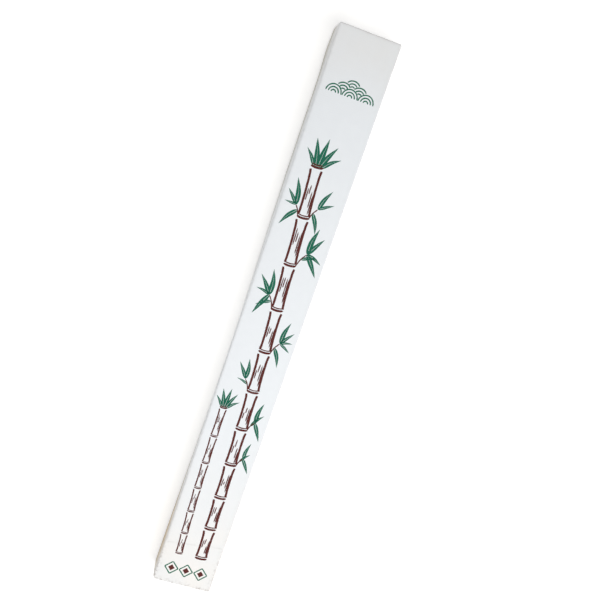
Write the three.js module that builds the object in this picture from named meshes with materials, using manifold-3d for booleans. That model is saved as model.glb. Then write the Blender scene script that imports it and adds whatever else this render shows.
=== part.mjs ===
// A long two-piece gift box for one long root vegetable: a deep lid that drops over a tray.
// Each piece is folded from a single die-cut blank of thin corrugated board and glued at its
// four corners. Millimetres, +Z up. The origin is at the middle of the tray's underside,
// +X runs along the box and +Y across it.

import * as THREE from "three";
import { mergeVertices } from "three/addons/utils/BufferGeometryUtils.js";
import Module from "manifold-3d";

// Driving dimensions of the closed box.
const LENGTH = 950; // outside of the lid
const WIDTH = 100; // outside of the lid
const HEIGHT = 55; // underside of the tray to the top of the lid
const BOARD = 1.6; // thickness of the board
const FOLD_RADIUS = 3; // outside of a fold

// How the lid sits on the tray.
const LID_EDGE_HEIGHT = 5; // the strip of tray that shows below the lid
const SIDE_PLAY = 4.1; // lid to tray along each long side
const END_PLAY = 1.8; // lid to tray at each end
const SEAT_GAP = 0.3; // tray's upper edge to the lid's ceiling

// Corner tabs: each end wall folds round behind the long walls and is glued to them.
const TAB_LENGTH = 34; // along the long wall
const TAB_TAPER = 3; // how much the tab narrows at each side of its free end
const TAB_RELIEF = 1.2; // cut back from the fold of the panel, and from the free edge
const CREASE_RELIEF = 0.5; // how far the cut-outs at the creases reach past the folds
const GLUE_BITE = 0.05; // how far glued faces are pressed together

// The free edges of the lid's long walls have drawn in towards the tray, most at a place a
// little off the middle.
const LID_BOW = 3.8;
const BOW_PLACE = -69; // along X
const BOW_STEPS = 20;
const STRAIGHT_STEPS = 1; // at each end, where the glued corners hold the wall

const ARC_SEGMENTS = 5; // in a quarter turn
const OVERLAP = 1; // how far joined stretches of one blank run into each other

const wasm = await Module();
wasm.setup();

const whiteBoard = { color: 0xf1f3f4, roughness: 0.62, metalness: 0 };

// A closed three.js geometry as a solid that can be joined and cut.
function solidOf(geometry) {
  const bare = geometry.clone();
  bare.deleteAttribute("normal");
  bare.deleteAttribute("uv");
  const merged = mergeVertices(bare, 1e-4);
  return new wasm.Manifold(
    new wasm.Mesh({
      numProp: 3,
      vertProperties: Float32Array.from(merged.attributes.position.array),
      triVerts: Uint32Array.from(merged.index.array),
    }),
  );
}

// A solid as a three.js geometry again.
function geometryOf(solid) {
  const mesh = solid.getMesh();
  const geometry = new THREE.BufferGeometry();
  geometry.setAttribute("position", new THREE.BufferAttribute(mesh.vertProperties, 3));
  geometry.setIndex(new THREE.BufferAttribute(mesh.triVerts, 1));
  geometry.computeVertexNormals();
  return geometry;
}

// Extrudes a shape; the shape's x and y run along the two axes given, and the depth along
// their cross product.
function extruded(shape, depth, alongX, alongY, start, steps = 1) {
  const geometry = new THREE.ExtrudeGeometry(shape, {
    depth,
    steps,
    bevelEnabled: false,
    curveSegments: ARC_SEGMENTS,
  });
  const depthAxis = new THREE.Vector3().crossVectors(alongX, alongY);
  geometry.applyMatrix4(new THREE.Matrix4().makeBasis(alongX, alongY, depthAxis));
  return geometry.translate(start.x, start.y, start.z);
}

const X = new THREE.Vector3(1, 0, 0);
const Y = new THREE.Vector3(0, 1, 0);
const Z = new THREE.Vector3(0, 0, 1);

// The section of a channel: a panel of the full width with a wall folded up at each side.
function channelSection(width, wallTop) {
  const half = width / 2;
  const middle = half - FOLD_RADIUS;
  const inner = FOLD_RADIUS - BOARD;
  const quarter = Math.PI / 2;
  const section = new THREE.Shape();
  section.moveTo(-half, wallTop);
  section.lineTo(-half, FOLD_RADIUS);
  section.absarc(-middle, FOLD_RADIUS, FOLD_RADIUS, 2 * quarter, 3 * quarter, false);
  section.lineTo(middle, 0);
  section.absarc(middle, FOLD_RADIUS, FOLD_RADIUS, 3 * quarter, 4 * quarter, false);
  section.lineTo(half, wallTop);
  section.lineTo(half - BOARD, wallTop);
  section.lineTo(half - BOARD, FOLD_RADIUS);
  section.absarc(middle, FOLD_RADIUS, inner, 0, -quarter, true);
  section.lineTo(-middle, BOARD);
  section.absarc(-middle, FOLD_RADIUS, inner, -quarter, -2 * quarter, true);
  section.lineTo(-half + BOARD, wallTop);
  section.closePath();
  return section;
}

// The section of one fold with a stretch of board before it, running from (-before, 0) to the
// corner and then up to (0, after).
function foldSection(before, after) {
  const centre = -FOLD_RADIUS;
  const quarter = Math.PI / 2;
  const section = new THREE.Shape();
  section.moveTo(-before, 0);
  section.lineTo(centre, 0);
  section.absarc(centre, FOLD_RADIUS, FOLD_RADIUS, -quarter, 0, false);
  section.lineTo(0, after);
  section.lineTo(-BOARD, after);
  section.lineTo(-BOARD, FOLD_RADIUS);
  section.absarc(centre, FOLD_RADIUS, FOLD_RADIUS - BOARD, 0, -quarter, true);
  section.lineTo(-before, BOARD);
  section.closePath();
  return section;
}

// Draws the free edge of a long wall inwards, in a smooth hollow between the straight steps.
function drawIn(geometry, wallTop, halfLength, bow) {
  const place = geometry.attributes.position;
  const bowedHalf = halfLength * (1 - (2 * STRAIGHT_STEPS) / BOW_STEPS);
  for (let i = 0; i < place.count; i++) {
    const height = (place.getZ(i) - FOLD_RADIUS) / (wallTop - FOLD_RADIUS);
    const off = place.getX(i) - BOW_PLACE;
    const reach = bowedHalf - BOW_PLACE * Math.sign(off);
    const along = Math.min(Math.abs(off) / reach, 1);
    const shift = bow * Math.max(height, 0) * Math.cos((along * Math.PI) / 2) ** 2;
    place.setY(i, place.getY(i) - shift);
  }
}

// A block between two opposite corners.
function block(corner, opposite) {
  const size = new THREE.Vector3().subVectors(opposite, corner);
  const middle = new THREE.Vector3().addVectors(corner, opposite).multiplyScalar(0.5);
  const geometry = new THREE.BoxGeometry(Math.abs(size.x), Math.abs(size.y), Math.abs(size.z));
  return solidOf(geometry.translate(middle.x, middle.y, middle.z));
}

// The panel with its two end walls. The panel and the end folds run up to the long folds, and
// the end walls above them stop where the corner tabs begin to turn.
function endPanels(length, width, depth) {
  const panelHalf = width / 2 - FOLD_RADIUS;
  const wallHalf = width / 2 - BOARD - FOLD_RADIUS - OVERLAP;
  const start = new THREE.Vector3(0, panelHalf, 0);
  let panels = solidOf(extruded(channelSection(length, depth), 2 * panelHalf, X, Z, start));
  for (const side of [-1, 1]) {
    const inside = new THREE.Vector3(-length, side * wallHalf, FOLD_RADIUS + CREASE_RELIEF);
    const beyond = new THREE.Vector3(length, side * width, 2 * depth);
    panels = panels.subtract(block(inside, beyond));
  }
  return panels;
}

// The long wall at +Y with its fold, less the notches where the creases of the blank meet.
function longWall(length, width, depth, bow) {
  const before = FOLD_RADIUS + OVERLAP;
  const start = new THREE.Vector3(-length / 2, width / 2, 0);
  const steps = bow > 0 ? BOW_STEPS : 1;
  const straight = extruded(foldSection(before, depth), length, Y, Z, start, steps);
  drawIn(straight, depth, length / 2, bow);
  let wall = solidOf(straight);
  const notch = FOLD_RADIUS + CREASE_RELIEF;
  for (const end of [-1, 1]) {
    const inside = new THREE.Vector3(end * (length / 2 - notch), 0, -1);
    const beyond = new THREE.Vector3(end * length, width, notch);
    wall = wall.subtract(block(inside, beyond));
  }
  return wall;
}

// One corner's tab at +X, +Y: the end wall's fold behind the long wall, and the tapered tab.
function cornerTab(length, width, depth) {
  const low = FOLD_RADIUS + TAB_RELIEF;
  const high = depth - TAB_RELIEF;
  const face = width / 2 - BOARD + GLUE_BITE; // the glued face of the tab
  const back = X.clone().negate();
  const foldStart = new THREE.Vector3(length / 2, face, low);
  const fold = foldSection(FOLD_RADIUS + 2 * OVERLAP, FOLD_RADIUS + 2 * OVERLAP);
  const bend = extruded(fold, high - low, Y, back, foldStart);

  const root = FOLD_RADIUS + OVERLAP;
  const outline = new THREE.Shape();
  outline.moveTo(root, low);
  outline.lineTo(TAB_LENGTH, low + TAB_TAPER);
  outline.lineTo(TAB_LENGTH, high - TAB_TAPER);
  outline.lineTo(root, high);
  outline.closePath();
  const tabStart = new THREE.Vector3(length / 2, face - BOARD, 0);
  const tab = extruded(outline, BOARD, back, Z, tabStart);
  return solidOf(bend).add(solidOf(tab));
}

// One folded blank, open upwards, its panel on Z = 0.
function foldedBlank(length, width, depth, bow) {
  const tab = cornerTab(length, width, depth);
  const side = longWall(length, width, depth, bow).add(tab).add(tab.mirror([1, 0, 0]));
  return endPanels(length, width, depth).add(side).add(side.mirror([0, 1, 0]));
}

function addPiece(parent, name, geometry, finish) {
  const mesh = new THREE.Mesh(geometry, new THREE.MeshStandardMaterial(finish));
  mesh.name = name;
  parent.add(mesh);
  return mesh;
}

const box = new THREE.Group();

const trayLength = LENGTH - 2 * (BOARD + END_PLAY);
const trayWidth = WIDTH - 2 * (BOARD + SIDE_PLAY);
const trayHeight = HEIGHT - BOARD - SEAT_GAP;
addPiece(box, "tray", geometryOf(foldedBlank(trayLength, trayWidth, trayHeight, 0)), whiteBoard);

// The lid is the same kind of blank, turned over.
const lidDepth = HEIGHT - LID_EDGE_HEIGHT;
const lidPlace = new THREE.Group();
lidPlace.rotation.x = Math.PI;
lidPlace.position.z = HEIGHT;
addPiece(lidPlace, "lid", geometryOf(foldedBlank(LENGTH, WIDTH, lidDepth, LID_BOW)), whiteBoard);
box.add(lidPlace);

export default box;
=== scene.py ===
# %% [markdown]
# # A long gift box, folded from two blanks
#
# A long root vegetable is given in a narrow white box: a tray, and a deep lid that drops over
# it. Each is cut flat from thin corrugated board, creased, folded and glued at its corners.
# This lesson makes the box in a box maker's order. It cuts a flat blank, folds it, sees to
# the open edges, prints the lid, and lights the result last.
#
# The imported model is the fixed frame. It gives the outside sizes of both pieces, and nothing
# in it is moved or reshaped.

import math

import bmesh
import bpy
import numpy as np
from mathutils import Matrix, Vector, noise


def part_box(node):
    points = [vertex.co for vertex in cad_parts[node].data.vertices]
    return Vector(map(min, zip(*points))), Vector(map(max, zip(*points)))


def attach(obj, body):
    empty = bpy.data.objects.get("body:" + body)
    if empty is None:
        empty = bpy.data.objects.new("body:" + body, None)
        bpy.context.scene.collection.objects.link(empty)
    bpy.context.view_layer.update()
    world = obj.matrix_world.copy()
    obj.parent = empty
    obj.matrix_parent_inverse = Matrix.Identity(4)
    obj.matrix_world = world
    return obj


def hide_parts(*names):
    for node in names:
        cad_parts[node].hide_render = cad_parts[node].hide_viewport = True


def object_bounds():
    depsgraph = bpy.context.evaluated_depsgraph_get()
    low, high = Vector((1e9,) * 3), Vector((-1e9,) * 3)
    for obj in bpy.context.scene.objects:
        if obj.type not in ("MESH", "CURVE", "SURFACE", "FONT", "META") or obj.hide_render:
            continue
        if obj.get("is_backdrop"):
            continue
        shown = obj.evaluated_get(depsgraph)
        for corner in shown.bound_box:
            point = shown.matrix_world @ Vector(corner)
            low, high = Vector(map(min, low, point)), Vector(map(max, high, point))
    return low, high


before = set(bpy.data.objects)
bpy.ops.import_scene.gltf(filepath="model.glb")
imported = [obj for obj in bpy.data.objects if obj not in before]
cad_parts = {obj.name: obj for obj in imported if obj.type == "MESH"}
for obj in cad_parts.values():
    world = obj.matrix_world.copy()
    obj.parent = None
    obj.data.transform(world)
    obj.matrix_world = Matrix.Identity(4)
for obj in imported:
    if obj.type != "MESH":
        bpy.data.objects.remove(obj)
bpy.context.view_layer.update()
print("frame nodes:", sorted(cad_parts))

# %% [markdown]
# ## The sizes of the box and of its board
#
# The outside of the lid and of the tray comes from the frame, so a longer box would need no
# change here. The board has its own sizes: two paper liners with a fluted paper between them,
# 1.6 mm thick in all. Its waves lie 3.3 mm apart and run across the box, so that every long
# wall stands on upright flutes.

# %% Sizes, in metres
MM = 0.001

BOARD = 1.6 * MM  # both liners and the flutes between them
LINER = 0.22 * MM  # one liner
FLUTE_PAPER = 0.16 * MM
FLUTE_PITCH = 3.3 * MM

FOLD_RADIUS = 3 * MM  # outside of a fold
FOLD_LENGTH = FOLD_RADIUS * math.pi / 2  # of outer liner, round one fold
FOLD_STEPS = 8

lid_low, lid_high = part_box("lid")
tray_low, tray_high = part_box("tray")
for name, low, high in (("lid", lid_low, lid_high), ("tray", tray_low, tray_high)):
    print(name, "outside, mm:", [round(side / MM, 1) for side in high - low])

# %% [markdown]
# ## Round a fold
#
# Board can't turn a sharp corner. Its outer face follows a quarter circle, and every layer
# below follows a smaller one about the same centre. One small function holds that rule, and
# every fold in the box uses it. It keeps the length of the outer liner, so a blank laid out
# with it really would fold up into this box.

# %% The rule of a fold
def round_fold(travel, depth):
    """Follows the board past the start of a fold: how far forward, and how far up it gets.

    travel is the way gone on the outer face, and depth is measured from there into the board.
    """
    if travel <= 0:
        return travel, depth
    angle = min(travel / FOLD_LENGTH, 1) * math.pi / 2
    radius = FOLD_RADIUS - depth
    forward = radius * math.sin(angle)
    up = FOLD_RADIUS - radius * math.cos(angle) + max(travel - FOLD_LENGTH, 0)
    return forward, up


print("a fold carries its wall up", round(round_fold(FOLD_LENGTH, 0)[1] / MM, 2), "mm")

# %% [markdown]
# ## The blank
#
# The die cuts one sheet for each piece: a long panel, a wall along each of its four sides,
# and a tab at each side of the two end walls. The tabs fold back behind the long walls and
# are glued there. Places on the sheet are u, along the box, and v, across it, from the middle
# of the panel. The end with the greatest u is called the head of the box, because the print
# stands upright towards it, and the other end is its foot.
#
# A blank could be modelled already folded, wall by wall. Here it stays flat, and `folded`
# carries any place on it to where it ends up. Then the shell, the flutes in its open edges
# and the print can all be laid out flat, as they are made, and none of them can come apart.

# %% How a blank is cut
GLUE_LINE = 0.05 * MM
TAB_LENGTH = 34 * MM
TAB_TAPER = 3 * MM
TAB_RELIEF = 1.2 * MM  # a tab is this much narrower than its wall at both sides


class Blank:
    """One flat sheet of board, and how it folds up."""

    def __init__(self, low, high, upside_down, draw_in, flare, sag, handled):
        self.length, self.width, self.depth = high - low
        self.flat_u = self.length / 2 - FOLD_RADIUS  # the end folds begin here
        self.flat_v = self.width / 2 - FOLD_RADIUS  # the long folds begin here
        self.wall = self.depth - FOLD_RADIUS
        self.turned_u = self.flat_u + FOLD_LENGTH  # the end folds are complete here
        self.turned_v = self.flat_v + FOLD_LENGTH
        self.end_u = self.turned_u + self.wall  # free edge of an end wall
        self.end_v = self.turned_v + self.wall  # free edge of a long wall
        self.tab_v = self.width / 2 - BOARD - GLUE_LINE - FOLD_RADIUS  # the tabs turn here
        self.tab_end = self.tab_v + FOLD_LENGTH + TAB_LENGTH - FOLD_RADIUS
        self.draw_in = draw_in
        self.flare = flare
        self.sag = sag
        self.handled = handled
        self.left = 1  # the sign of v at the left of the box, seen from its foot
        self.stand = Matrix.Translation((0, 0, low.z))
        if upside_down:
            self.left = -1
            self.stand = Matrix.Translation((0, 0, high.z)) @ Matrix.Rotation(math.pi, 4, "X")


# %% [markdown]
# ## Nothing stays quite flat
#
# A panel this long sinks a little between its folds, by less than a millimetre and unevenly.
# A hand that once pressed on the lid left a shallow crease across it, near its foot. The free
# edges of the lid's long walls have drawn in towards the tray, most a little off the middle,
# and stand out a little near its head. These are shapes, not colours, so they belong in the
# mesh. They are formulas of the place on the box, and light finds them by itself.

# %% Sagging, creasing and drawing in
CREASE_PLACE = -396 * MM  # along the lid, where it crosses the middle
CREASE_SLANT = 0.12
CREASE_WIDTH = 1.6 * MM
CREASE_DEPTH = 0.28 * MM
DRAWN_PLACE = -69 * MM  # along the lid, where its long walls have drawn in most
FLARE = 1.6 * MM  # how far the free edges stand out near the head
FLARE_PLACE = 436 * MM
FLARE_WIDTH = 26 * MM
HELD = 0.1  # share of a long wall, at each end, that the glued corners hold straight
WAVINESS = 0.12 * MM  # of a long wall


def sunk(blank, x, y):
    """How far the panel lies below its folds at x, y."""
    uneven = 1 + 0.6 * noise.noise(Vector((x * 7, y * 9, 1.5)))
    towards_end = 1 - min(abs(2 * x / blank.length), 1) ** 6
    between_folds = math.cos(math.pi * min(abs(y / blank.width), 0.5))
    depth = blank.sag * uneven * towards_end * between_folds
    if blank.handled:
        off_line = (x - CREASE_PLACE - CREASE_SLANT * y) / CREASE_WIDTH
        depth += CREASE_DEPTH * math.exp(-(off_line**2)) * between_folds
    return depth


def drawn_in(blank, x, y, z):
    """How far a long wall leans inwards at x, on the side of y, and z above the panel."""
    height = max(z - FOLD_RADIUS, 0) / blank.wall
    off = x - DRAWN_PLACE
    reach = blank.length / 2 * (1 - HELD) - math.copysign(DRAWN_PLACE, off)
    held_at_ends = math.cos(min(abs(off) / reach, 1) * math.pi / 2) ** 2
    wave = WAVINESS * noise.noise(Vector((x * 14, z * 8, math.copysign(4.2, y))))
    drawn = height**1.4 * held_at_ends * (blank.draw_in + wave)
    flare = blank.flare * height * math.exp(-(((x - FLARE_PLACE) / FLARE_WIDTH) ** 2))
    return drawn - flare


# %% [markdown]
# ## Folding
#
# A place on the sheet goes round an end fold if it lies past one, and round a long fold if it
# lies past that. Where both folds meet, at a corner of the panel, the board is crushed into a
# small dome, which takes the greater of the two heights. A place on a tab also goes round the
# upright fold. Signs are put back at the end, so one quarter of the sheet describes all four.
#
# Nobody's board keeps a needle-sharp corner. Seen from above, each corner is drawn in to a
# quarter circle, by scaling every place in the corner's square back into its circle. The
# circle grows away from the panel, because the free end of a corner is knocked the most. One
# corner at the lid's foot has been knocked at the panel as well.

# %% From the flat sheet to the folded piece
EDGE = 0.01 * MM  # tells places on a line from places past it
BLUNTING = 4 * MM  # by how much a corner is rounder at its free end
KNOCK = 5 * MM  # by how much the knocked corner is rounder at the panel
KNOCK_FADE = 9 * MM  # down from the panel


def blunted(blank, x, y, z, knocked):
    """Draws the corner of a piece in to a quarter circle, seen from above."""
    growth = BLUNTING * min(z / blank.depth, 1)
    if knocked:
        growth += KNOCK * math.exp(-max(z, 0) / KNOCK_FADE)
    centre = Vector((blank.flat_u - growth, blank.flat_v - growth))
    beyond = Vector((x, y)) - centre
    if min(beyond) <= 0:
        return x, y
    return centre + beyond * max(beyond) / beyond.length


def on_end_wall(blank, u, v, depth):
    """Where a place on an end wall or on its tab ends up, all signs positive."""
    forward, z = round_fold(u - blank.flat_u, depth)
    past_tab = v - blank.tab_v
    if past_tab <= 0:
        return blank.flat_u + forward, v, z
    forward, inwards = round_fold(past_tab, depth)
    taper = max(past_tab - FOLD_LENGTH, 0) / (TAB_LENGTH - FOLD_RADIUS)
    middle = FOLD_RADIUS + blank.wall / 2
    z -= (z - middle) / (blank.wall / 2) * TAB_TAPER * taper
    return blank.length / 2 - inwards, blank.tab_v + forward, z


def folded(blank, u, v, depth):
    """Where a place on the sheet, at a depth into the board, ends up in the frame."""
    if abs(u) > blank.turned_u + EDGE:
        x, y, z = on_end_wall(blank, abs(u), abs(v), depth)
    else:
        forward_u, z_u = round_fold(abs(u) - blank.flat_u, depth)
        forward_v, z_v = round_fold(abs(v) - blank.flat_v, depth)
        x, y, z = blank.flat_u + forward_u, blank.flat_v + forward_v, max(z_u, z_v)
        if forward_v > 0:
            y -= drawn_in(blank, math.copysign(x, u), math.copysign(y, v), z)
    x, y = blunted(blank, x, y, z, blank.handled and u < 0 and v < 0)
    x, y = math.copysign(x, u), math.copysign(y, v)
    return blank.stand @ Vector((x, y, z + sunk(blank, x, y)))


lid_blank = Blank(
    lid_low, lid_high, upside_down=True, draw_in=3.8 * MM, flare=FLARE, sag=0.4 * MM, handled=True)
tray_blank = Blank(
    tray_low, tray_high, upside_down=False, draw_in=0, flare=0, sag=0.1 * MM, handled=False)
top_middle = folded(lid_blank, 0, 0, 0)
print("middle of the lid's top, mm:", [round(c / MM, 2) for c in top_middle])

# %% [markdown]
# ## Which cells of the grid are board
#
# The sheet becomes a grid. Lines run through every crease and every cut, and more are filled
# in between them, so each cell lies wholly inside the outline or wholly outside it. Deciding
# cell by cell keeps the outline readable: it is the die-cutting plan, written as conditions.
#
# Where a cut crosses the flutes, as it does along the free edge of a long wall, the paper
# between the liners stops short and one looks into open waves. Where a cut runs along a
# flute, as it does on an end wall's free edge and on a long wall's upright ends, only a narrow
# slit shows. `open_between` says where the liners stand apart.

# %% The die-cutting plan
GROOVE = 3 * MM  # how deep one looks into open flutes
SLIT = 0.8 * MM
CELL = 4 * MM


def grid_lines(marks, step):
    """Lines through every mark and evenly between them, on both sides of zero."""
    marks = sorted({round(mark, 7) for mark in marks})
    lines = []
    for start, stop in zip(marks, marks[1:]):
        count = math.ceil((stop - start) / step)
        lines += [start + (stop - start) * i / count for i in range(count)]
    lines.append(marks[-1])
    return [-line for line in reversed(lines[1:])] + lines


def blank_lines(blank):
    """The lines of a blank's grid along u and along v."""
    turn = [FOLD_LENGTH * i / FOLD_STEPS for i in range(FOLD_STEPS + 1)]
    marks_u = [0, blank.turned_u - SLIT, blank.turned_u + TAB_RELIEF]
    marks_u += [blank.flat_u + part for part in turn]
    marks_u += [blank.end_u - TAB_RELIEF, blank.end_u - SLIT, blank.end_u]
    if blank.handled:
        reach = CREASE_SLANT * blank.width / 2 + 3 * CREASE_WIDTH
        count = round(2 * reach / MM)
        marks_u += [abs(CREASE_PLACE) - reach + 2 * reach * i / count for i in range(count + 1)]
    marks_v = [0, blank.tab_end, blank.end_v - GROOVE, blank.end_v]
    marks_v += [blank.flat_v + part for part in turn] + [blank.tab_v + part for part in turn]
    return grid_lines(marks_u, CELL), grid_lines(marks_v, CELL)


def on_long_wall(blank, u, v):
    """Whether a place is on a long wall or its fold, corners included."""
    return v > blank.flat_v and u < blank.turned_u


def is_board(blank, u, v):
    """Whether the sheet has board at this place."""
    u, v = abs(u), abs(v)
    if on_long_wall(blank, u, v):
        return v < blank.end_v
    if v < blank.tab_v or u < blank.turned_u:
        return u < blank.end_u
    beside_tab = u < blank.turned_u + TAB_RELIEF or u > blank.end_u - TAB_RELIEF
    return v < blank.tab_end and not beside_tab


def open_between(blank, u, v):
    """Whether one looks in between the liners at this place."""
    u, v = abs(u), abs(v)
    if on_long_wall(blank, u, v):
        upright_end = u > blank.turned_u - SLIT and v > blank.turned_v
        return v > blank.end_v - GROOVE or upright_end
    return u > blank.end_u - SLIT


for name, blank in (("lid", lid_blank), ("tray", tray_blank)):
    flat_size = [round(2 * end / MM) for end in (blank.end_u, blank.end_v)]
    print("the", name, "is cut from a sheet of", *flat_size, "mm")

# %% [markdown]
# ## The shell
#
# Each cell is a small stack: outer liner, flutes, inner liner. A stack lacks its middle
# wherever the flutes are open. The surface of the board is then every side of every filled
# box that has no filled neighbour, which closes by itself round each cut and groove.
# A Solidify modifier would give the thickness too, but no grooves and no liners.
#
# Each face learns what it is made of, and each corner keeps its place on the flat sheet as a
# UV map, in metres. The finishes read that map, so grain and flutes follow the folds.

# %% From cells to a closed mesh
LAYERS = (0, LINER, BOARD - LINER, BOARD)
OUTSIDE, INSIDE, CUT = range(3)  # the shell's material slots


def filled_boxes(blank, lines_u, lines_v):
    """Which boxes of the grid hold paper, with an empty border all round."""
    filled = np.zeros((len(lines_u) + 1, len(lines_v) + 1, len(LAYERS) + 1), bool)
    for i in range(len(lines_u) - 1):
        u = (lines_u[i] + lines_u[i + 1]) / 2
        for j in range(len(lines_v) - 1):
            v = (lines_v[j] + lines_v[j + 1]) / 2
            if is_board(blank, u, v):
                middle = not open_between(blank, u, v)
                filled[i + 1, j + 1, 1:4] = (True, middle, True)
    return filled


def bare_sides(filled):
    """Yields axis, side, and the boxes whose face on that side is bare."""
    for axis in range(3):
        for side in (0, 1):
            neighbour = np.roll(filled, 1 - 2 * side, axis)
            yield axis, side, np.argwhere(filled & ~neighbour) - 1


def shell_faces(filled):
    """The corners of every bare face, counted along the three axes, and its material."""
    corners, finishes = [], []
    for axis, side, boxes in bare_sides(filled):
        ring = [(0, 0), (1, 0), (1, 1), (0, 1)]
        if side == 0:
            ring.reverse()
        offsets = np.zeros((4, 3), int)
        offsets[:, axis] = side
        offsets[:, (axis + 1) % 3] = [corner[0] for corner in ring]
        offsets[:, (axis + 2) % 3] = [corner[1] for corner in ring]
        corners.append(boxes[:, None, :] + offsets)
        layer = boxes[:, 2]
        finish = np.full(len(boxes), CUT)
        if axis == 2 and side == 0:
            finish[layer == 0] = OUTSIDE
        if axis == 2 and side == 1:
            finish[layer == 2] = INSIDE
        if axis < 2:
            finish[layer == 0] = OUTSIDE
        finishes.append(finish)
    return np.concatenate(corners), np.concatenate(finishes)


# %% [markdown]
# ## Where hands have been, and painted shade
#
# Board picks up grey marks along its folds, creases and cut edges, because that is where it
# rubs on others. The folds about its foot carry a broken line of dark brown painted shade.
# A shader can find edges by their curvature, but it can't tell which of them were handled. So
# each corner of the mesh keeps a number from 0 to 1 for each kind of mark, worked out from its
# place on the sheet, and the finish of the outer liner uses these numbers as masks.

# %% Rubbed, and painted shade on the fold at the foot
RUB_REACH = 5 * MM
CREASE_RUB = 1.6  # how much narrower the marks are along the crease
# Painted shade: a broken dark line on the fold at the foot, fading along the long folds.
FOLD_SHADE_REACH = 2.6 * MM
FOLD_SHADE_PLACE = 0.15  # share of the way round a fold
FOLD_SHADE_SLOPE = 0.04  # how soon it fades along the long folds


def rubbed(blank, u, v):
    """1 on a fold or a cut edge, falling away over a few millimetres."""
    gaps = [
        abs(abs(u) - blank.flat_u - FOLD_LENGTH / 2),
        abs(abs(v) - blank.flat_v - FOLD_LENGTH / 2),
        abs(blank.end_v - abs(v)),
        abs(blank.end_u - abs(u)),
    ]
    if blank.handled and abs(v) < blank.flat_v:
        gaps.append(CREASE_RUB * abs(u - CREASE_PLACE - CREASE_SLANT * v))
    return math.exp(-min(gaps) / RUB_REACH)


def painted_fold_shade(blank, u, v):
    """Painted shade: 1 on the fold at the foot of the box, falling away along the long folds."""
    past_end = -u - blank.flat_u
    past_side = abs(v) - blank.flat_v
    gaps = [
        abs(past_end - FOLD_SHADE_PLACE * FOLD_LENGTH),
        abs(past_side - FOLD_SHADE_PLACE * FOLD_LENGTH) + FOLD_SHADE_SLOPE * abs(past_end),
    ]
    return math.exp(-min(gaps) / FOLD_SHADE_REACH)


# %% [markdown]
# The free edges of the long walls get painted shade over a broad stretch, darker towards both
# ends, and a warm brown painted shade lies on the left wall near the foot. The white also gets
# warm painted light towards the foot, and grey painted shade towards the head.

# %% Painted shade on the free edges and at the foot, painted warm light, painted shade at the head
# Painted shade along the free edges of the long walls, darker towards both ends.
EDGE_SHADE_REACH = 24 * MM
EDGE_SHADE_LEAST = 0.2  # halfway along the lid
EDGE_SHADE_AT_HEAD = 0.7  # against 1 at the foot
EDGE_SHADE_PLACE = 190 * MM  # from here on, towards either end, the painted edge shade grows
EDGE_SHADE_FADE = 60 * MM
# Warm painted shade on the long walls near the foot, mostly on the left.
WARM_SHADE_PLACE = -405 * MM  # along the lid
WARM_SHADE_LENGTH = 70 * MM
WARM_SHADE_DEPTH = 18 * MM  # from the long fold to where it is strongest
WARM_SHADE_AT_RIGHT = 0.3  # against 1 at the left
# Painted warm light towards the foot, and painted shade towards the head.
WARM_LIGHT_REACH = 170 * MM
HEAD_SHADE_REACH = 70 * MM


def painted_edge_shade(blank, u, v):
    """How much painted shade darkens a place: most at a long wall's free edge, near its ends."""
    up_the_wall = abs(blank.end_v - abs(v)) / EDGE_SHADE_REACH
    towards_end = 1 / (1 + math.exp((EDGE_SHADE_PLACE - abs(u)) / EDGE_SHADE_FADE))
    most = 1 if u < 0 else EDGE_SHADE_AT_HEAD
    return math.exp(-(up_the_wall**2)) * (EDGE_SHADE_LEAST + (most - EDGE_SHADE_LEAST) * towards_end)


def painted_warm_shade(blank, u, v):
    """How much warm painted shade lies on the long walls near the foot of the lid, most on the
    left.
    """
    down_the_wall = (abs(v) - blank.flat_v) / WARM_SHADE_DEPTH
    along = math.exp(-(((u - WARM_SHADE_PLACE) / WARM_SHADE_LENGTH) ** 2))
    most = 1 if v * blank.left > 0 else WARM_SHADE_AT_RIGHT
    return most * along * min(max(down_the_wall, 0), 1)


def towards(blank, u, end, reach):
    """1 at one end of the box, and on its end wall, falling away along the box."""
    from_end = max(blank.length / 2 - u * end, 0)
    return math.exp(-((from_end / reach) ** 2))


def painted_warm_light(blank, u, v):
    """How much warm painted light lies on the liner towards the foot."""
    return towards(blank, u, -1, WARM_LIGHT_REACH)


def painted_head_shade(blank, u, v):
    """How much painted shade greys the liner towards the head."""
    return towards(blank, u, 1, HEAD_SHADE_REACH)


MASKS = (painted_warm_light, painted_head_shade, painted_edge_shade, painted_warm_shade, rubbed, painted_fold_shade)
for mask in MASKS:
    amount = mask(lid_blank, WARM_SHADE_PLACE, 0)
    print("near the foot, the lid's top is", mask.__name__, "by", round(amount, 2))

# %% Both pieces as meshes
def board_shell(name, blank):
    """The whole folded sheet as one closed mesh."""
    lines_u, lines_v = blank_lines(blank)
    corners, finishes = shell_faces(filled_boxes(blank, lines_u, lines_v))
    used, faces = np.unique(corners.reshape(-1, 3), axis=0, return_inverse=True)
    flat = [(lines_u[i], lines_v[j], LAYERS[k]) for i, j, k in used]
    mesh = bpy.data.meshes.new(name)
    mesh.from_pydata([folded(blank, *place) for place in flat], [], faces.reshape(-1, 4).tolist())
    mesh.polygons.foreach_set("material_index", finishes.astype(np.int32))
    sheet_map = mesh.uv_layers.new(name="sheet")
    for loop, target in zip(mesh.loops, sheet_map.uv):
        target.vector = flat[loop.vertex_index][:2]
    for mask in MASKS:
        kept = mesh.attributes.new(mask.__name__, "FLOAT", "POINT")
        kept.data.foreach_set("value", [mask(blank, u, v) for u, v, _ in flat])
    mesh.shade_smooth()
    mesh.set_sharp_from_angle(angle=math.radians(40))
    piece = bpy.data.objects.new(name, mesh)
    bpy.context.scene.collection.objects.link(piece)
    return piece


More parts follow.
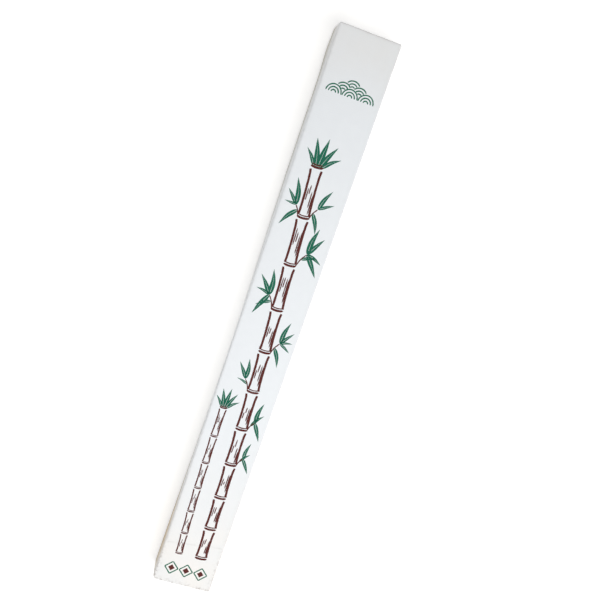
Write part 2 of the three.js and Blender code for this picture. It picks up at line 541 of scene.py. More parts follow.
lid_board = board_shell("lid_board", lid_blank)
tray_board = board_shell("tray_board", tray_blank)
for piece in (lid_board, tray_board):
    print(piece.name, "has", len(piece.data.polygons), "faces")

# %% [markdown]
# ## Strips of paper and of ink
#
# The flutes in the open edges and every stroke of the print are strips: long, narrow and
# thin. One helper makes them all from rows of four corners, closed all round and at both
# ends. It works on the flat sheet and folds each corner, so a strip can't leave its board.

# %% A closed strip
def add_strip(blank, mesh, rows):
    """Adds a strip. Each row has the four corners of a section, as u, v and depth."""
    sheet_map = mesh.loops.layers.uv["sheet"]
    sections = [[(mesh.verts.new(folded(blank, *c)), c) for c in row] for row in rows]
    rings = []
    for here, there in zip(sections, sections[1:]):
        for a, b in ((0, 1), (1, 2), (2, 3), (3, 0)):
            rings.append((here[a], here[b], there[b], there[a]))
    rings.append(tuple(reversed(sections[0])))
    rings.append(tuple(sections[-1]))
    for ring in rings:
        face = mesh.faces.new([vertex for vertex, _ in ring])
        for loop, (_, place) in zip(face.loops, ring):
            loop[sheet_map].uv = place[:2]


def strip_mesh():
    """An empty mesh for strips, with the map of the flat sheet."""
    mesh = bmesh.new()
    mesh.loops.layers.uv.new("sheet")
    return mesh


def finish_strips(name, mesh):
    """Turns the strips into one piece whose faces all look outwards."""
    bmesh.ops.recalc_face_normals(mesh, faces=mesh.faces)
    data = bpy.data.meshes.new(name)
    mesh.to_mesh(data)
    mesh.free()
    data.shade_smooth()
    data.set_sharp_from_angle(angle=math.radians(40))
    piece = bpy.data.objects.new(name, data)
    bpy.context.scene.collection.objects.link(piece)
    print(name, "has", len(data.polygons), "faces")
    return piece


# %% [markdown]
# ## The flutes in the open edges
#
# In an open edge the wavy paper touches one liner, then the other. It is a sine wave that
# runs along the edge, between the liners, and reaches back to the bottom of the groove.

# %% Waves between the liners
FLUTE_SAMPLES = 8  # points in one wave
FLUTE_SET_BACK = 0.15 * MM
flute_rise = (BOARD - 2 * LINER - FLUTE_PAPER) / 2


def wave_depth(along):
    """Depth of the middle of the wavy paper."""
    return BOARD / 2 + flute_rise * math.sin(2 * math.pi * along / FLUTE_PITCH)


def wave_stations(start, stop):
    """Places along an edge, close enough together to draw the wave."""
    count = math.ceil((stop - start) / FLUTE_PITCH * FLUTE_SAMPLES)
    return [start + (stop - start) * i / count for i in range(count + 1)]


def wave_section(along, edge, side):
    """The four corners of the wavy paper at one place: v and depth, seen along the edge."""
    back, front = side * (edge - GROOVE), side * (edge - FLUTE_SET_BACK)
    low, high = wave_depth(along) - FLUTE_PAPER / 2, wave_depth(along) + FLUTE_PAPER / 2
    return [(back, low), (front, low), (front, high), (back, high)]


def flutes(name, blank):
    """The wavy paper that shows in the free edges of a piece's two long walls."""
    mesh = strip_mesh()
    stations = wave_stations(SLIT - blank.turned_u, blank.turned_u - SLIT)
    for side in (-1, 1):
        sections = [wave_section(u, blank.end_v, side) for u in stations]
        rows = [[(u, v, depth) for v, depth in part] for u, part in zip(stations, sections)]
        add_strip(blank, mesh, rows)
    return finish_strips(name, mesh)


lid_flutes = flutes("lid_flutes", lid_blank)
tray_flutes = flutes("tray_flutes", tray_blank)

# %% [markdown]
# ## Brush strokes
#
# The lid is printed in two inks, brown and green, by soft rubber plates. Its drawing keeps the
# look of a brush: lines swell and taper, and their edges are a little rough where the plate
# presses ink over the flutes. A picture mapped on the lid would be the usual way. Here each
# stroke is a film of ink with a real outline, so it stays sharp however close one looks.
#
# A stroke is a smooth curve through a few places on the flat sheet, with a width. The curve
# is a Catmull-Rom spline, which passes through every place that it is given. The second ink
# is printed over the first, so its film stands a little higher.

# %% A stroke of ink
INK_DEPTH = 0.04 * MM  # how far ink is sunk in the paper
STROKE_STEP = 0.8 * MM
THINNEST = 0.12 * MM
RAGGED = 0.2 * MM  # how far an edge wanders


class Plate:
    """One ink's share of the print: its strokes, and how high its film stands."""

    def __init__(self, film):
        self.film = film
        self.mesh = strip_mesh()
        self.widest = 0


green, brown = Plate(0.04 * MM), Plate(0.06 * MM)


def place(u, v):
    """A place on the printed panel in millimetres: u along the lid, v to the right of it."""
    return Vector((u * MM, v * MM))


def curve_through(places):
    """Even steps along the smooth curve through these places."""
    guide = [2 * places[0] - places[1], *places, 2 * places[-1] - places[-2]]
    steps = [places[0]]
    for a, b, c, d in zip(guide, guide[1:], guide[2:], guide[3:]):
        count = max(2, round((c - b).length / STROKE_STEP))
        for i in range(1, count + 1):
            t = i / count
            turn = (2 * a - 5 * b + 4 * c - d) * t**2 + (3 * b - a - 3 * c + d) * t**3
            steps.append(b + ((c - a) * t + turn) / 2)
    return steps


def sideways(steps, i):
    """The direction to the right of a curve at one of its steps."""
    along = (steps[min(i + 1, len(steps) - 1)] - steps[max(i - 1, 0)]).normalized()
    return Vector((-along.y, along.x))


def ragged(point, seed):
    """How far a printed edge wanders here."""
    fine = noise.noise(Vector((point.x / MM, point.y / MM, seed)))
    broad = noise.noise(Vector((point.x / MM / 7, point.y / MM / 7, seed + 5)))
    return RAGGED * (fine + broad)


def add_band(plate, lefts, rights):
    """Adds a film of ink between two lines of places."""
    rows = []
    for left, right in zip(lefts, rights):
        top = [(left.x, left.y, -plate.film), (right.x, right.y, -plate.film)]
        rows.append(top + [(right.x, right.y, INK_DEPTH), (left.x, left.y, INK_DEPTH)])
        plate.widest = max(plate.widest, abs(left.y), abs(right.y))
    add_strip(lid_blank, plate.mesh, rows)


def add_stroke(plate, places, width, tips=(0.5, 0.5)):
    """Adds a brush stroke. The tips say what share of the width is left at each end."""
    steps = curve_through(places)
    lefts, rights = [], []
    for i, step in enumerate(steps):
        t = i / (len(steps) - 1)
        swell = min(1, tips[0] + t / 0.15, tips[1] + (1 - t) / 0.2)
        half = width * swell / 2
        across = sideways(steps, i)
        lefts.append(step - across * max(half + ragged(step, 1), THINNEST / 2))
        rights.append(step + across * max(half + ragged(step, 9), THINNEST / 2))
    add_band(plate, lefts, rights)


# %% [markdown]
# ## The printed bamboo
#
# The motif is bamboo, one of the common old plant patterns: a tall culm, and a short one
# beside it. Between two joints a culm is two outlines, slimmer halfway, with a few dry strokes
# for shade. At each joint lie a heavy ring and a light one, and the joints stand further apart
# the higher they are. A culm gives places relative to itself, so that the drawing can be made
# upright and still come out slanted and gently bent.

# %% The culms, in brown
class Culm:
    """A culm's line on the sheet, its half width, and its joints."""

    def __init__(self, foot, top, bend, half, first_stretch, count):
        self.foot, self.top, self.bend, self.half = foot, top, bend * MM, half * MM
        self.way = (top - foot).normalized()
        self.right = Vector((-self.way.y, self.way.x))
        self.length = (top - foot).length / MM
        growth = (self.length - first_stretch * count) / (count * (count - 1) / 2)
        self.joints = [first_stretch * i + growth * i * (i - 1) / 2 for i in range(count + 1)]

    def at(self, along, across):
        """A place on the drawing: millimetres up the culm, and half widths to its right."""
        bend = self.bend * math.sin(math.pi * along / self.length)
        return self.foot + self.way * along * MM + self.right * (across * self.half + bend)


WAIST = [(0, 1.04), (0.15, 0.93), (0.5, 0.88), (0.85, 0.93), (1, 1.06)]  # share of way, half widths
DRY_STROKES = (0.56, 0.3, -0.5, -0.14)  # half widths off the middle of the culm


def draw_stretch(culm, foot, top, number):
    """A culm between two joints: two outlines and a few dry strokes."""
    gap = culm.half / MM * 0.45
    foot, top = foot + gap, top - gap
    span = top - foot
    for side in (-1, 1):
        outline = [culm.at(foot + t * span, side * width) for t, width in WAIST]
        add_stroke(brown, outline, culm.half * 0.44, tips=(0.8, 0.8))
    for i, across in enumerate(DRY_STROKES):
        wander = noise.noise(Vector((number * 3.7, i * 5.1, culm.half * 1000)))
        start = foot + span * (0.1 + 0.12 * i + 0.14 * wander)
        reach = span * (0.52 - 0.11 * i + 0.2 * wander)
        dry = [culm.at(start + reach * t, across + 0.08 * t) for t in (0, 0.5, 1)]
        add_stroke(brown, dry, culm.half * 0.2, tips=(0.2, 0))


def draw_joint(culm, along):
    """The heavy ring of a joint, and the light one above it."""
    lift = culm.half / MM
    for rise, reach, width in ((0, 1.2, 0.42), (0.45, 1.08, 0.22)):
        ring = [culm.at(along + lift * (rise + up), across * reach) for across, up in
                ((-1, 0.16), (-0.5, 0.02), (0, -0.03), (0.5, 0.02), (1, 0.16))]
        add_stroke(brown, ring, culm.half * width, tips=(0.4, 0.4))


tall_culm = Culm(place(-418, 17), place(262, -12), bend=4, half=8.4, first_stretch=56, count=10)
short_culm = Culm(place(-418, -21), place(-150, -29), bend=-2, half=5.2, first_stretch=38, count=6)
for culm in (tall_culm, short_culm):
    for number, (foot, top) in enumerate(zip(culm.joints, culm.joints[1:])):
        draw_stretch(culm, foot, top, number)
    for along in culm.joints:
        draw_joint(culm, along)
    print("culm of", len(culm.joints) - 1, "stretches,", round(culm.length), "mm long")

# %% [markdown]
# ## Twigs and leaves
#
# At some joints a thin brown twig leaves the culm and carries a spray of green leaves. A
# bamboo leaf is widest a third of the way out and ends in a long point. The brush leaves its
# midrib bare, so a leaf is two bands of ink with a hair of paper between them.

# %% Leaves, in green
MIDRIB = 0.5 * MM


def heading(degrees):
    """A direction on the sheet: 0 is up the lid, and 90 is to its right."""
    angle = math.radians(degrees)
    return Vector((math.cos(angle), math.sin(angle)))


def add_leaf(root, degrees, length, droop):
    """A leaf from its root, turned by degrees; droop bends its tip further round."""
    middle = root + heading(degrees) * length * 0.5
    tip = middle + heading(degrees + droop) * length * 0.5
    steps = curve_through([root, middle, tip])
    for side in (-1, 1):
        inner, outer = [], []
        for i, step in enumerate(steps):
            t = i / (len(steps) - 1)
            across = sideways(steps, i) * side
            half = length * 0.1 * math.sin(math.pi * t**0.6) ** 0.9
            rib = MIDRIB / 2 * (1 - t)
            reach = max(half + ragged(step, 3 + side), rib + THINNEST)
            inner.append(step + across * rib)
            outer.append(step + across * reach)
        if side < 0:
            inner, outer = outer, inner
        add_band(green, inner, outer)


def add_spray(culm, joint, side, reach, fan):
    """A twig from a joint, and the leaves of its spray as (heading, length) to its side."""
    start = culm.at(culm.joints[joint] + 2, side * 1.1)
    middle = start + heading(side * 20) * reach * MM * 0.5
    tip = middle + heading(side * 34) * reach * MM * 0.5
    add_stroke(brown, [start, middle, tip], 1.8 * MM, tips=(1, 0.3))
    for i, (degrees, length) in enumerate(fan):
        root = middle if i % 3 == 2 else tip
        add_leaf(root, side * degrees, length * MM, side * (12 - 8 * (i % 2)))


SPRAYS = [  # joint of the tall culm, side, reach of the twig, and the fan of leaves
    (3, 1, 16, [(4, 30), (146, 28), (34, 22)]),
    (4, 1, 18, [(2, 36), (150, 34), (30, 28)]),
    (5, -1, 20, [(0, 34), (32, 30), (66, 20)]),
    (6, 1, 22, [(4, 38), (36, 28), (150, 34), (118, 22), (70, 20)]),
    (7, -1, 22, [(2, 42), (36, 36), (112, 26), (152, 40), (70, 24)]),
    (8, 1, 26, [(2, 44), (30, 36), (66, 26), (142, 40), (106, 28)]),
    (9, -1, 17, [(8, 42), (40, 28), (138, 36), (84, 19)]),
    (9, 1, 20, [(16, 36), (58, 26), (150, 34)]),
]
CROWNS = [(tall_culm, 46), (short_culm, 34)]  # culm, and the length of its longest leaf
CROWN_FAN = [(-40, 0.66), (-16, 0.95), (6, 1.0), (28, 0.9), (54, 0.7)]
for joint, side, reach, fan in SPRAYS:
    add_spray(tall_culm, joint, side, reach, fan)
for culm, longest in CROWNS:
    for degrees, share in CROWN_FAN:
        crown = culm.at(culm.length + 1, degrees / 60)
        add_leaf(crown, degrees * 0.8, share * longest * MM, degrees / 4)
on_twigs = sum(len(fan) for joint, side, reach, fan in SPRAYS)
print("leaves drawn:", on_twigs, "on twigs and", len(CROWNS) * len(CROWN_FAN), "on top")

# %% [markdown]
# ## Waves and lozenges
#
# Above the bamboo rises a mound of overlapping waves, the old pattern of fish-scale arcs. Each
# scale is three arcs about one centre, and the scales in front of it hide part of them. So an
# arc is walked in small steps, and only the stretches outside every scale in front are drawn.
# Below the bamboo stand three lozenges, each round a solid one.

# %% Waves, in green
WAVE_RADIUS = 13
WAVE_FOOT = 376
WAVE_ROWS = 3
WAVE_LINE = 1.9 * MM
WAVE_ARCS = (0.93, 0.6, 0.27)  # shares of the radius
WAVE_STEPS = 24


def wave_centres(row):
    """The centres of the scales in one row; each row has one scale less than the one below."""
    count = WAVE_ROWS - row
    return [((row * 0.5) * WAVE_RADIUS + WAVE_FOOT, (i - (count - 1) / 2) * 2 * WAVE_RADIUS)
            for i in range(count)]


def seen_stretches(points, in_front):
    """Splits an arc into the stretches that no scale in front hides."""
    stretches, current = [], []
    for u, v in points:
        hidden = any(math.hypot(u - a, v - b) < WAVE_RADIUS for a, b in in_front)
        if not hidden:
            current.append(place(u, v))
        if hidden or (u, v) == points[-1]:
            if len(current) > 2:
                stretches.append(current)
            current = []
    return stretches


for row in range(WAVE_ROWS):
    in_front = [centre for front in range(max(row - 2, 0), row) for centre in wave_centres(front)]
    for centre_u, centre_v in wave_centres(row):
        for share in WAVE_ARCS:
            turns = [math.pi * i / WAVE_STEPS for i in range(WAVE_STEPS + 1)]
            radius = share * WAVE_RADIUS
            arc = [
                (centre_u + radius * math.sin(turn), centre_v - radius * math.cos(turn))
                for turn in turns]
            for stretch in seen_stretches(arc, in_front):
                add_stroke(green, stretch, WAVE_LINE, tips=(0.7, 0.7))
print("scales drawn:", sum(len(wave_centres(row)) for row in range(WAVE_ROWS)))

# %% Lozenges, in both inks
LOZENGE_PLACE = -446
LOZENGE_HALF = 11.5


def add_lozenge(plate, middle, reach, width):
    """An upright lozenge's four sides."""
    corners = [middle + heading(turn) * reach for turn in (0, 90, 180, 270)]
    for corner, following in zip(corners, corners[1:] + corners[:1]):
        add_stroke(plate, [corner, (corner + following) / 2, following], width, (0.9, 0.9))


def add_solid_lozenge(plate, middle, reach):
    """A lozenge that is all ink."""
    lefts, rights = [], []
    for t in (-1, -0.5, 0, 0.5, 1):
        half = max(reach * (1 - abs(t)), THINNEST)
        lefts.append(middle + Vector((t * reach, -half)))
        rights.append(middle + Vector((t * reach, half)))
    add_band(plate, lefts, rights)


for column in (-1, 0, 1):
    middle = place(LOZENGE_PLACE, 2.2 * LOZENGE_HALF * column)
    add_lozenge(green, middle, LOZENGE_HALF * MM, 2 * MM)
    add_solid_lozenge(brown, middle, LOZENGE_HALF * 0.5 * MM)
for title, plate in (("brown", brown), ("green", green)):
    print(title, "ink reaches", round(plate.widest / MM, 1), "mm from the middle of the lid")

ink_brown = finish_strips("print_brown", brown.mesh)
ink_green = finish_strips("print_green", green.mesh)

# %% [markdown]
# ## Building finishes from nodes
#
# Every finish below is a network of nodes. Two helpers keep them short to write: one adds a
# node and wires it in the same breath, and one opens a group. A group is an effect that
# several finishes share, such as grain, with named inputs and outputs, so that each finish
# can use it with its own values. Shaders and all plain constants stay outside the groups.

# %% Helpers for nodes
def add_node(tree, kind, feeds, **settings):
    """Adds a shader node. Each feed is a value, or the socket that is wired to that input."""
    made = tree.nodes.new("ShaderNode" + kind)
    for name, value in settings.items():
        setattr(made, name, value)
    for name, feed in feeds.items():
        if isinstance(feed, bpy.types.NodeSocket):
            tree.links.new(feed, made.inputs[name])
        else:
            made.inputs[name].default_value = feed
    return made


def maths(tree, operation, first, second=0.0):
    """The result of a sum, product or other operation on two numbers."""
    made = add_node(tree, "Math", {0: first, 1: second}, operation=operation)
    return made.outputs[0]


def open_group(name, inputs, outputs):
    """A new group, and the sockets that its inputs give inside it."""
    tree = bpy.data.node_groups.new(name, "ShaderNodeTree")
    for title, kind in inputs.items():
        tree.interface.new_socket(title, in_out="INPUT", socket_type="NodeSocket" + kind)
    for title in outputs:
        tree.interface.new_socket(title, in_out="OUTPUT", socket_type="NodeSocketFloat")
    return tree, tree.nodes.new("NodeGroupInput").outputs


def close_group(tree, results):
    """Wires the results to the group's outputs."""
    outlet = tree.nodes.new("NodeGroupOutput")
    for title, socket in results.items():
        tree.links.new(socket, outlet.inputs[title])


def use_group(tree, group, feeds):
    """Places a group in a finish and returns its outputs."""
    made = tree.nodes.new("ShaderNodeGroup")
    made.node_tree = group
    for title, feed in feeds.items():
        if isinstance(feed, bpy.types.NodeSocket):
            tree.links.new(feed, made.inputs[title])
        else:
            made.inputs[title].default_value = feed
    return made.outputs


# %% [markdown]
# ## Grain, flutes, handling, painted light and ink cover
#
# Paper is a felt of fibres, most of them lying the way the web ran, so its grain is noise
# stretched along the sheet, over a cloudier noise. Under a liner the flutes show as a faint
# washboard. Marks of handling, and the painted shade and painted light, come in patches,
# wherever their mask lets them. Near a least of 1 the patches run together, and below 0 only
# a few are left. Ink from a rubber plate is never whole: it has pinholes, and it is thinner
# in the valleys between flutes.

# %% The shared effects
grain_tree, given = open_group(
    "Paper grain", {"Sheet": "Vector", "Fibre": "Float"}, ["Tone", "Height"])
counted = add_node(grain_tree, "VectorMath", {0: given["Sheet"]}, operation="SCALE")
grain_tree.links.new(maths(grain_tree, "DIVIDE", 1.0, given["Fibre"]), counted.inputs["Scale"])
lengthwise = add_node(
    grain_tree, "VectorMath", {0: counted.outputs[0], 1: (0.3, 1.4, 1)}, operation="MULTIPLY")
fibres = add_node(
    grain_tree, "TexNoise", {"Vector": lengthwise.outputs[0], "Scale": 1.0, "Detail": 3.0})
clouds = add_node(
    grain_tree, "TexNoise", {"Vector": counted.outputs[0], "Scale": 0.045, "Detail": 4.0})
pressed = maths(grain_tree, "MULTIPLY_ADD", clouds.outputs[0], 0.6)
grain_tree.links.new(fibres.outputs[0], pressed.node.inputs[2])
close_group(grain_tree, {"Tone": clouds.outputs[0], "Height": pressed})

flute_tree, given = open_group("Flute washboard", {"Sheet": "Vector", "Pitch": "Float"}, ["Ripple"])
sheet_u = add_node(flute_tree, "SeparateXYZ", {"Vector": given["Sheet"]}).outputs["X"]
turns = maths(flute_tree, "DIVIDE", sheet_u, given["Pitch"])
wave = maths(flute_tree, "SINE", maths(flute_tree, "MULTIPLY", turns, 2 * math.pi))
patchy = add_node(flute_tree, "TexNoise", {"Vector": given["Sheet"], "Scale": 22.0, "Detail": 2.0})
close_group(flute_tree, {"Ripple": maths(flute_tree, "MULTIPLY", wave, patchy.outputs[0])})

# This group lays out the patches of real wear and of the painted shade and painted light alike.
wear_and_shade_tree, given = open_group(
    "Wear and painted light marks",
    {"Sheet": "Vector", "Where": "Float", "Sharpness": "Float", "Patch": "Float", "Least": "Float"},
    ["Marks"])
fineness = maths(wear_and_shade_tree, "DIVIDE", 1.0, given["Patch"])
smudges = add_node(
    wear_and_shade_tree, "TexNoise", {"Vector": given["Sheet"], "Scale": fineness, "Detail": 4.0})
near = maths(wear_and_shade_tree, "POWER", given["Where"], given["Sharpness"])
patches = add_node(
    wear_and_shade_tree, "MapRange",
    {"Value": smudges.outputs[0], "From Min": 0.2, "From Max": 0.8, "To Min": given["Least"]})
close_group(wear_and_shade_tree, {"Marks": maths(wear_and_shade_tree, "MULTIPLY", near, patches.outputs[0])})

cover_tree, given = open_group(
    "Ink cover", {"Sheet": "Vector", "Ripple": "Float", "Pinholes": "Float"}, ["Bare"])
specks = add_node(cover_tree, "TexNoise", {"Vector": given["Sheet"], "Scale": 900.0, "Detail": 2.0})
uneven = add_node(cover_tree, "TexNoise", {"Vector": given["Sheet"], "Scale": 130.0, "Detail": 3.0})
mottled = maths(cover_tree, "MULTIPLY_ADD", uneven.outputs[0], 0.55)
cover_tree.links.new(specks.outputs[0], mottled.node.inputs[2])
thinned = maths(cover_tree, "MULTIPLY_ADD", given["Ripple"], 0.1)
cover_tree.links.new(mottled, thinned.node.inputs[2])
scaled = maths(cover_tree, "SUBTRACT", thinned, 1.0)
opened = maths(cover_tree, "ADD", scaled, given["Pinholes"])
bare = add_node(cover_tree, "MapRange", {"Value": opened, "From Min": 0.0, "From Max": 0.25})
close_group(cover_tree, {"Bare": bare.outputs[0]})
print("shared effects:", [group.name for group in bpy.data.node_groups])

# %% [markdown]
# ## The finishes
#
# The outer liner is bleached, a cool white. Inside, and in the cuts, the board is plain brown
# kraft. Each finish takes its roughness as a constant on the shader and lets grain and wear
# change the colour and the bump, which is what the eye reads on paper. The white liner's colour
# also carries painted shade and painted light.

# %% Paper finishes
def new_finish(name, roughness):
    """A material with one Principled shader, and the map of the flat sheet."""
    material = bpy.data.materials.new(name)
    material.use_nodes = True
    tree = material.node_tree
    shader = tree.nodes["Principled BSDF"]
    shader.inputs["Roughness"].default_value = roughness
    sheet = add_node(tree, "UVMap", {}, uv_map="sheet").outputs[0]
    return material, tree, shader, sheet


def mixed(tree, share, first, second):
    """A colour that goes from the first to the second by a share."""
    made = add_node(tree, "Mix", {"Factor": share}, data_type="RGBA")
    for name, colour in (("A", first), ("B", second)):
        slot = next(s for s in made.inputs if s.name == name and s.type == "RGBA")
        if isinstance(colour, bpy.types.NodeSocket):
            tree.links.new(colour, slot)
        else:
            slot.default_value = (*colour, 1)
    return next(s for s in made.outputs if s.type == "RGBA")


def add_bump(tree, shader, height, distance):
    """Lets a height disturb the shading, by this many metres at most."""
    bump = add_node(tree, "Bump", {"Height": height, "Distance": distance, "Strength": 1.0})
    tree.links.new(bump.outputs[0], shader.inputs["Normal"])


LINER_WHITE = (0.883, 0.912, 0.935)
LINER_SHADE = (0.843, 0.871, 0.896)
LINER_WEAR_AND_PAINTED_LIGHT = (  # mask, size of its patches, their least, sharpness, greatest share, colour
    # Rows: warm painted light at the foot, painted shade at the head, painted shade on the free
    # edges, warm painted shade near the foot, real rubbing wear, painted shade on the foot fold.
    ("painted_warm_light", 60 * MM, 0.3, 1.0, 1.0, (0.955, 0.915, 0.865)),
    ("painted_head_shade", 60 * MM, 0.3, 1.0, 1.0, (0.84, 0.83, 0.81)),
    ("painted_edge_shade", 60 * MM, 0.8, 1.0, 0.95, (0.375, 0.334, 0.22)),
    ("painted_warm_shade", 60 * MM, 0.7, 1.0, 1.0, (0.62, 0.49, 0.33)),
    ("rubbed", 9 * MM, 0.0, 2.5, 0.4, (0.55, 0.53, 0.51)),
    ("painted_fold_shade", 5 * MM, -0.8, 1.0, 1.0, (0.22, 0.17, 0.14)),
)
KRAFT = (0.5, 0.34, 0.2)
KRAFT_DARK = (0.36, 0.235, 0.135)


def white_liner():
    """Bleached liner: faint clouds, a faint washboard, marks from rubbing, and painted shade and
    light.
    """
    material, tree, shader, sheet = new_finish("white_liner", 0.58)
    grain = use_group(tree, grain_tree, {"Sheet": sheet, "Fibre": 0.7 * MM})
    ripple = use_group(tree, flute_tree, {"Sheet": sheet, "Pitch": FLUTE_PITCH})["Ripple"]
    liner_colour = mixed(tree, grain["Tone"], LINER_WHITE, LINER_SHADE)
    for title, patch, least, sharpness, share, colour in LINER_WEAR_AND_PAINTED_LIGHT:
        where = add_node(tree, "Attribute", {}, attribute_name=title).outputs["Fac"]
        feeds = {
            "Sheet": sheet, "Where": where, "Sharpness": sharpness, "Patch": patch, "Least": least}
        marks = use_group(tree, wear_and_shade_tree, feeds)["Marks"]
        liner_colour = mixed(tree, maths(tree, "MULTIPLY", marks, share), liner_colour, colour)
    tree.links.new(liner_colour, shader.inputs["Base Color"])
    relief = maths(tree, "MULTIPLY_ADD", ripple, 0.9)
    tree.links.new(grain["Height"], relief.node.inputs[2])
    add_bump(tree, shader, relief, 0.025 * MM)
    return material


def kraft(name, light, dark, fibre):
    """Brown paper: long fibres, light and dark."""
    material, tree, shader, sheet = new_finish(name, 0.8)
    grain = use_group(tree, grain_tree, {"Sheet": sheet, "Fibre": fibre})
    contrast = add_node(
        tree, "MapRange", {"Value": grain["Height"], "From Min": 0.5, "From Max": 1.1})
    tree.links.new(mixed(tree, contrast.outputs[0], dark, light), shader.inputs["Base Color"])
    add_bump(tree, shader, grain["Height"], 0.05 * MM)
    return material


board_finishes = (
    white_liner(),
    kraft("kraft_liner", KRAFT, KRAFT_DARK, 1.2 * MM),
    kraft("cut_board", KRAFT_DARK, (0.26, 0.165, 0.09), 0.5 * MM),
)
for piece in (lid_board, tray_board):
    for finish in board_finishes:
        piece.data.materials.append(finish)
for piece in (lid_flutes, tray_flutes):
    piece.data.materials.append(kraft("flute_paper_" + piece.name, KRAFT, KRAFT_DARK, 0.8 * MM))

# %% Ink finishes
def ink(name, colour, pinholes):
    """A thin ink with pinholes, through which the liner shows."""
    material, tree, shader, sheet = new_finish(name, 0.7)
    shader.inputs["Specular IOR Level"].default_value = 0.25
    ripple = use_group(tree, flute_tree, {"Sheet": sheet, "Pitch": FLUTE_PITCH})["Ripple"]
    bare = use_group(
        tree, cover_tree, {"Sheet": sheet, "Ripple": ripple, "Pinholes": pinholes})["Bare"]
    tree.links.new(mixed(tree, bare, colour, LINER_SHADE), shader.inputs["Base Color"])
    return material


ink_brown.data.materials.append(ink("brown_ink", (0.09, 0.014, 0.011), 0.0))
ink_green.data.materials.append(ink("green_ink", (0.008, 0.135, 0.078), 0.0))
print("finishes:", [material.name for material in bpy.data.materials])

# %% [markdown]
# ## Tying the pieces to the frame
#
# The folded shells stand for the plain solids of the frame, which keep their work of taking
# collisions. Lid and tray only rest on each other, so everything rides on the one body.

# %% Ride and replace
for piece, slot_name in (
    (lid_board, "lid_board"),
    (lid_flutes, "lid_board"),
    (tray_board, "tray_board"),
    (tray_flutes, "tray_board"),
    (ink_brown, "ink_brown"),
    (ink_green, "ink_green"),
):
    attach(piece, "root")
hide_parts("lid")
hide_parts("tray")

# %% [markdown]
# ## Floor and surroundings
#
# The box stands on a pale floor in a pale room. To the camera, the floor gains a little light
# of its own, and more of it far from the box, so that it runs out into white without more
# light falling on the box. Its shadow stays. The lamps and the sky are kept at a plain level,
# at which white board comes out as bright as its colour says.

# %% The stage
FLOOR_SIZE = 8
FLOOR_LIFT = 0.6  # light added for the camera alone, beside the box
FAR_LIFT = 1.0  # the same, where the lamps no longer reach


def seen_directly(tree):
    """1 for the camera, and for mirrors and glass, so that they show the same white."""
    rays = tree.nodes.new("ShaderNodeLightPath").outputs
    mirrored = maths(tree, "MAXIMUM", rays["Is Glossy Ray"], rays["Is Transmission Ray"])
    return maths(tree, "MAXIMUM", rays["Is Camera Ray"], mirrored)


floor_mesh = bmesh.new()
bmesh.ops.create_grid(floor_mesh, x_segments=8, y_segments=8, size=FLOOR_SIZE / 2)
floor_data = bpy.data.meshes.new("floor")
floor_mesh.to_mesh(floor_data)
floor_mesh.free()
floor = bpy.data.objects.new("floor", floor_data)
bpy.context.scene.collection.objects.link(floor)
floor_finish = bpy.data.materials.new("pale_floor")
floor_finish.use_nodes = True
tree = floor_finish.node_tree
tree.nodes.clear()
matt = add_node(tree, "BsdfDiffuse", {"Color": (0.62, 0.61, 0.595, 1)})
from_box = add_node(
    tree, "VectorMath", {0: tree.nodes.new("ShaderNodeNewGeometry").outputs["Position"]},
    operation="LENGTH").outputs["Value"]
gained = add_node(
    tree, "MapRange",
    {"Value": from_box, "From Min": 0.7, "From Max": 2.2, "To Min": FLOOR_LIFT, "To Max": FAR_LIFT})
shown = maths(tree, "MULTIPLY", seen_directly(tree), gained.outputs[0])
lift = add_node(tree, "Emission", {"Strength": shown})
both = add_node(tree, "AddShader", {0: matt.outputs[0], 1: lift.outputs[0]})
surface = tree.nodes.new("ShaderNodeOutputMaterial")
tree.links.new(both.outputs[0], surface.inputs["Surface"])
floor_data.materials.append(floor_finish)
floor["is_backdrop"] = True

SKY_STRENGTH = 0.25
world = bpy.data.worlds.new("pale_room")
bpy.context.scene.world = world
world.use_nodes = True
tree = world.node_tree
tree.nodes.clear()
sky = add_node(tree, "Background", {"Color": (1, 1, 1, 1), "Strength": SKY_STRENGTH})
white = add_node(tree, "Background", {"Color": (1, 1, 1, 1), "Strength": 1.0})
chosen = add_node(
    tree, "MixShader", {0: seen_directly(tree), 1: sky.outputs[0], 2: white.outputs[0]})
surface = tree.nodes.new("ShaderNodeOutputWorld")
tree.links.new(chosen.outputs[0], surface.inputs["Surface"])

# %% [markdown]
# ## Lamps
#
# The key lamp hangs above the foot of the box and a little to its right, so the head is dimmer
# and the left wall lies in mild shade. A low lamp on each of the four sides keeps the folds
# and walls from going dull. All are wide, which keeps every shadow soft.

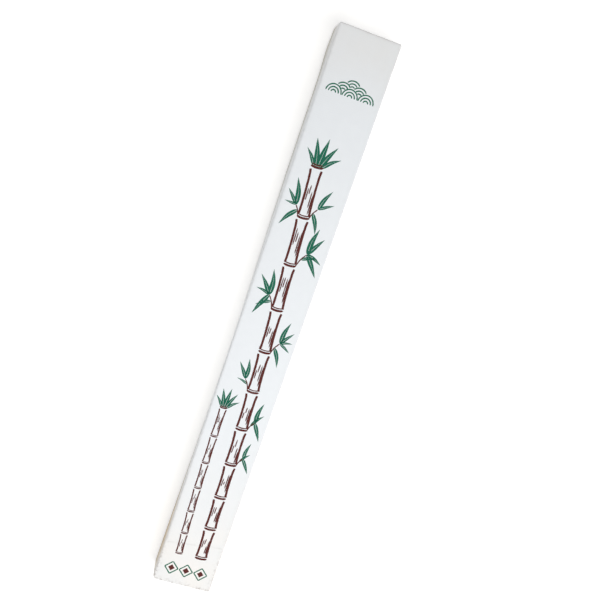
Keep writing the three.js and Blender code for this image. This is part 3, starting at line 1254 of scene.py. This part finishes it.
# %% One key lamp and four fills
def soft_lamp(name, position, target, size, power):
    """A square area lamp that faces its target."""
    data = bpy.data.lights.new(name, "AREA")
    data.shape = "SQUARE"
    data.size = size
    data.energy = power
    lamp = bpy.data.objects.new(name, data)
    lamp.location = position
    lamp.rotation_euler = (Vector(target) - Vector(position)).to_track_quat("-Z", "Y").to_euler()
    bpy.context.scene.collection.objects.link(lamp)
    return lamp


soft_lamp("key", (-0.35, -0.45, 1.5), (-0.35, 0, 0), 1.2, 15.3)
soft_lamp("left_fill", (0.1, 1.8, 0.5), (0, 0, 0), 0.8, 9.5)
soft_lamp("right_fill", (0.1, -1.8, 0.5), (0, 0, 0), 0.8, 11.6)
soft_lamp("head_fill", (1.8, 0, 0.5), (0.47, 0, 0), 0.6, 4.8)
soft_lamp("foot_fill", (-1.7, 0, 0.5), (-0.47, 0, 0), 0.6, 4.1)
print("lamps:", [lamp.name for lamp in bpy.data.lights])

# %% [markdown]
# ## The camera
#
# It looks down on the box from above the half of it that lies towards its head, turned so that
# the box stands at a slant in the picture. A look-at rule alone leaves that turn open, so a
# direction on the floor says which way is up in the picture.

# %% Camera
CAMERA_PLACE = Vector((0.2717, 0.1701, 1.249))
CAMERA_TARGET = Vector((0.0577, -0.0312, 0.055))
PICTURE_UP = math.radians(19.1)  # on the floor, from the length of the box towards its left
LENS = 46.5

camera_data = bpy.data.cameras.new("camera")
camera_data.lens = LENS
camera_data.sensor_width = 36
camera = bpy.data.objects.new("camera", camera_data)
ahead = (CAMERA_TARGET - CAMERA_PLACE).normalized()
to_right = ahead.cross(Vector((math.cos(PICTURE_UP), math.sin(PICTURE_UP), 0))).normalized()
axes = Matrix((to_right, to_right.cross(ahead), -ahead)).transposed()
camera.matrix_world = Matrix.Translation(CAMERA_PLACE) @ axes.to_4x4()
bpy.context.scene.collection.objects.link(camera)
bpy.context.scene.camera = camera
bpy.context.scene.view_settings.view_transform = "Standard"
print("the camera looks down from", round(CAMERA_PLACE.z / MM), "mm above the floor")

# %% [markdown]
# ## Measuring the result
#
# The looks must not change the size of the box. Its visual size is printed, to set beside the
# outside sizes printed near the start.

# %% Sizes, and the end
low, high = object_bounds()
print("visual size, mm:", [round(side / MM, 1) for side in high - low])
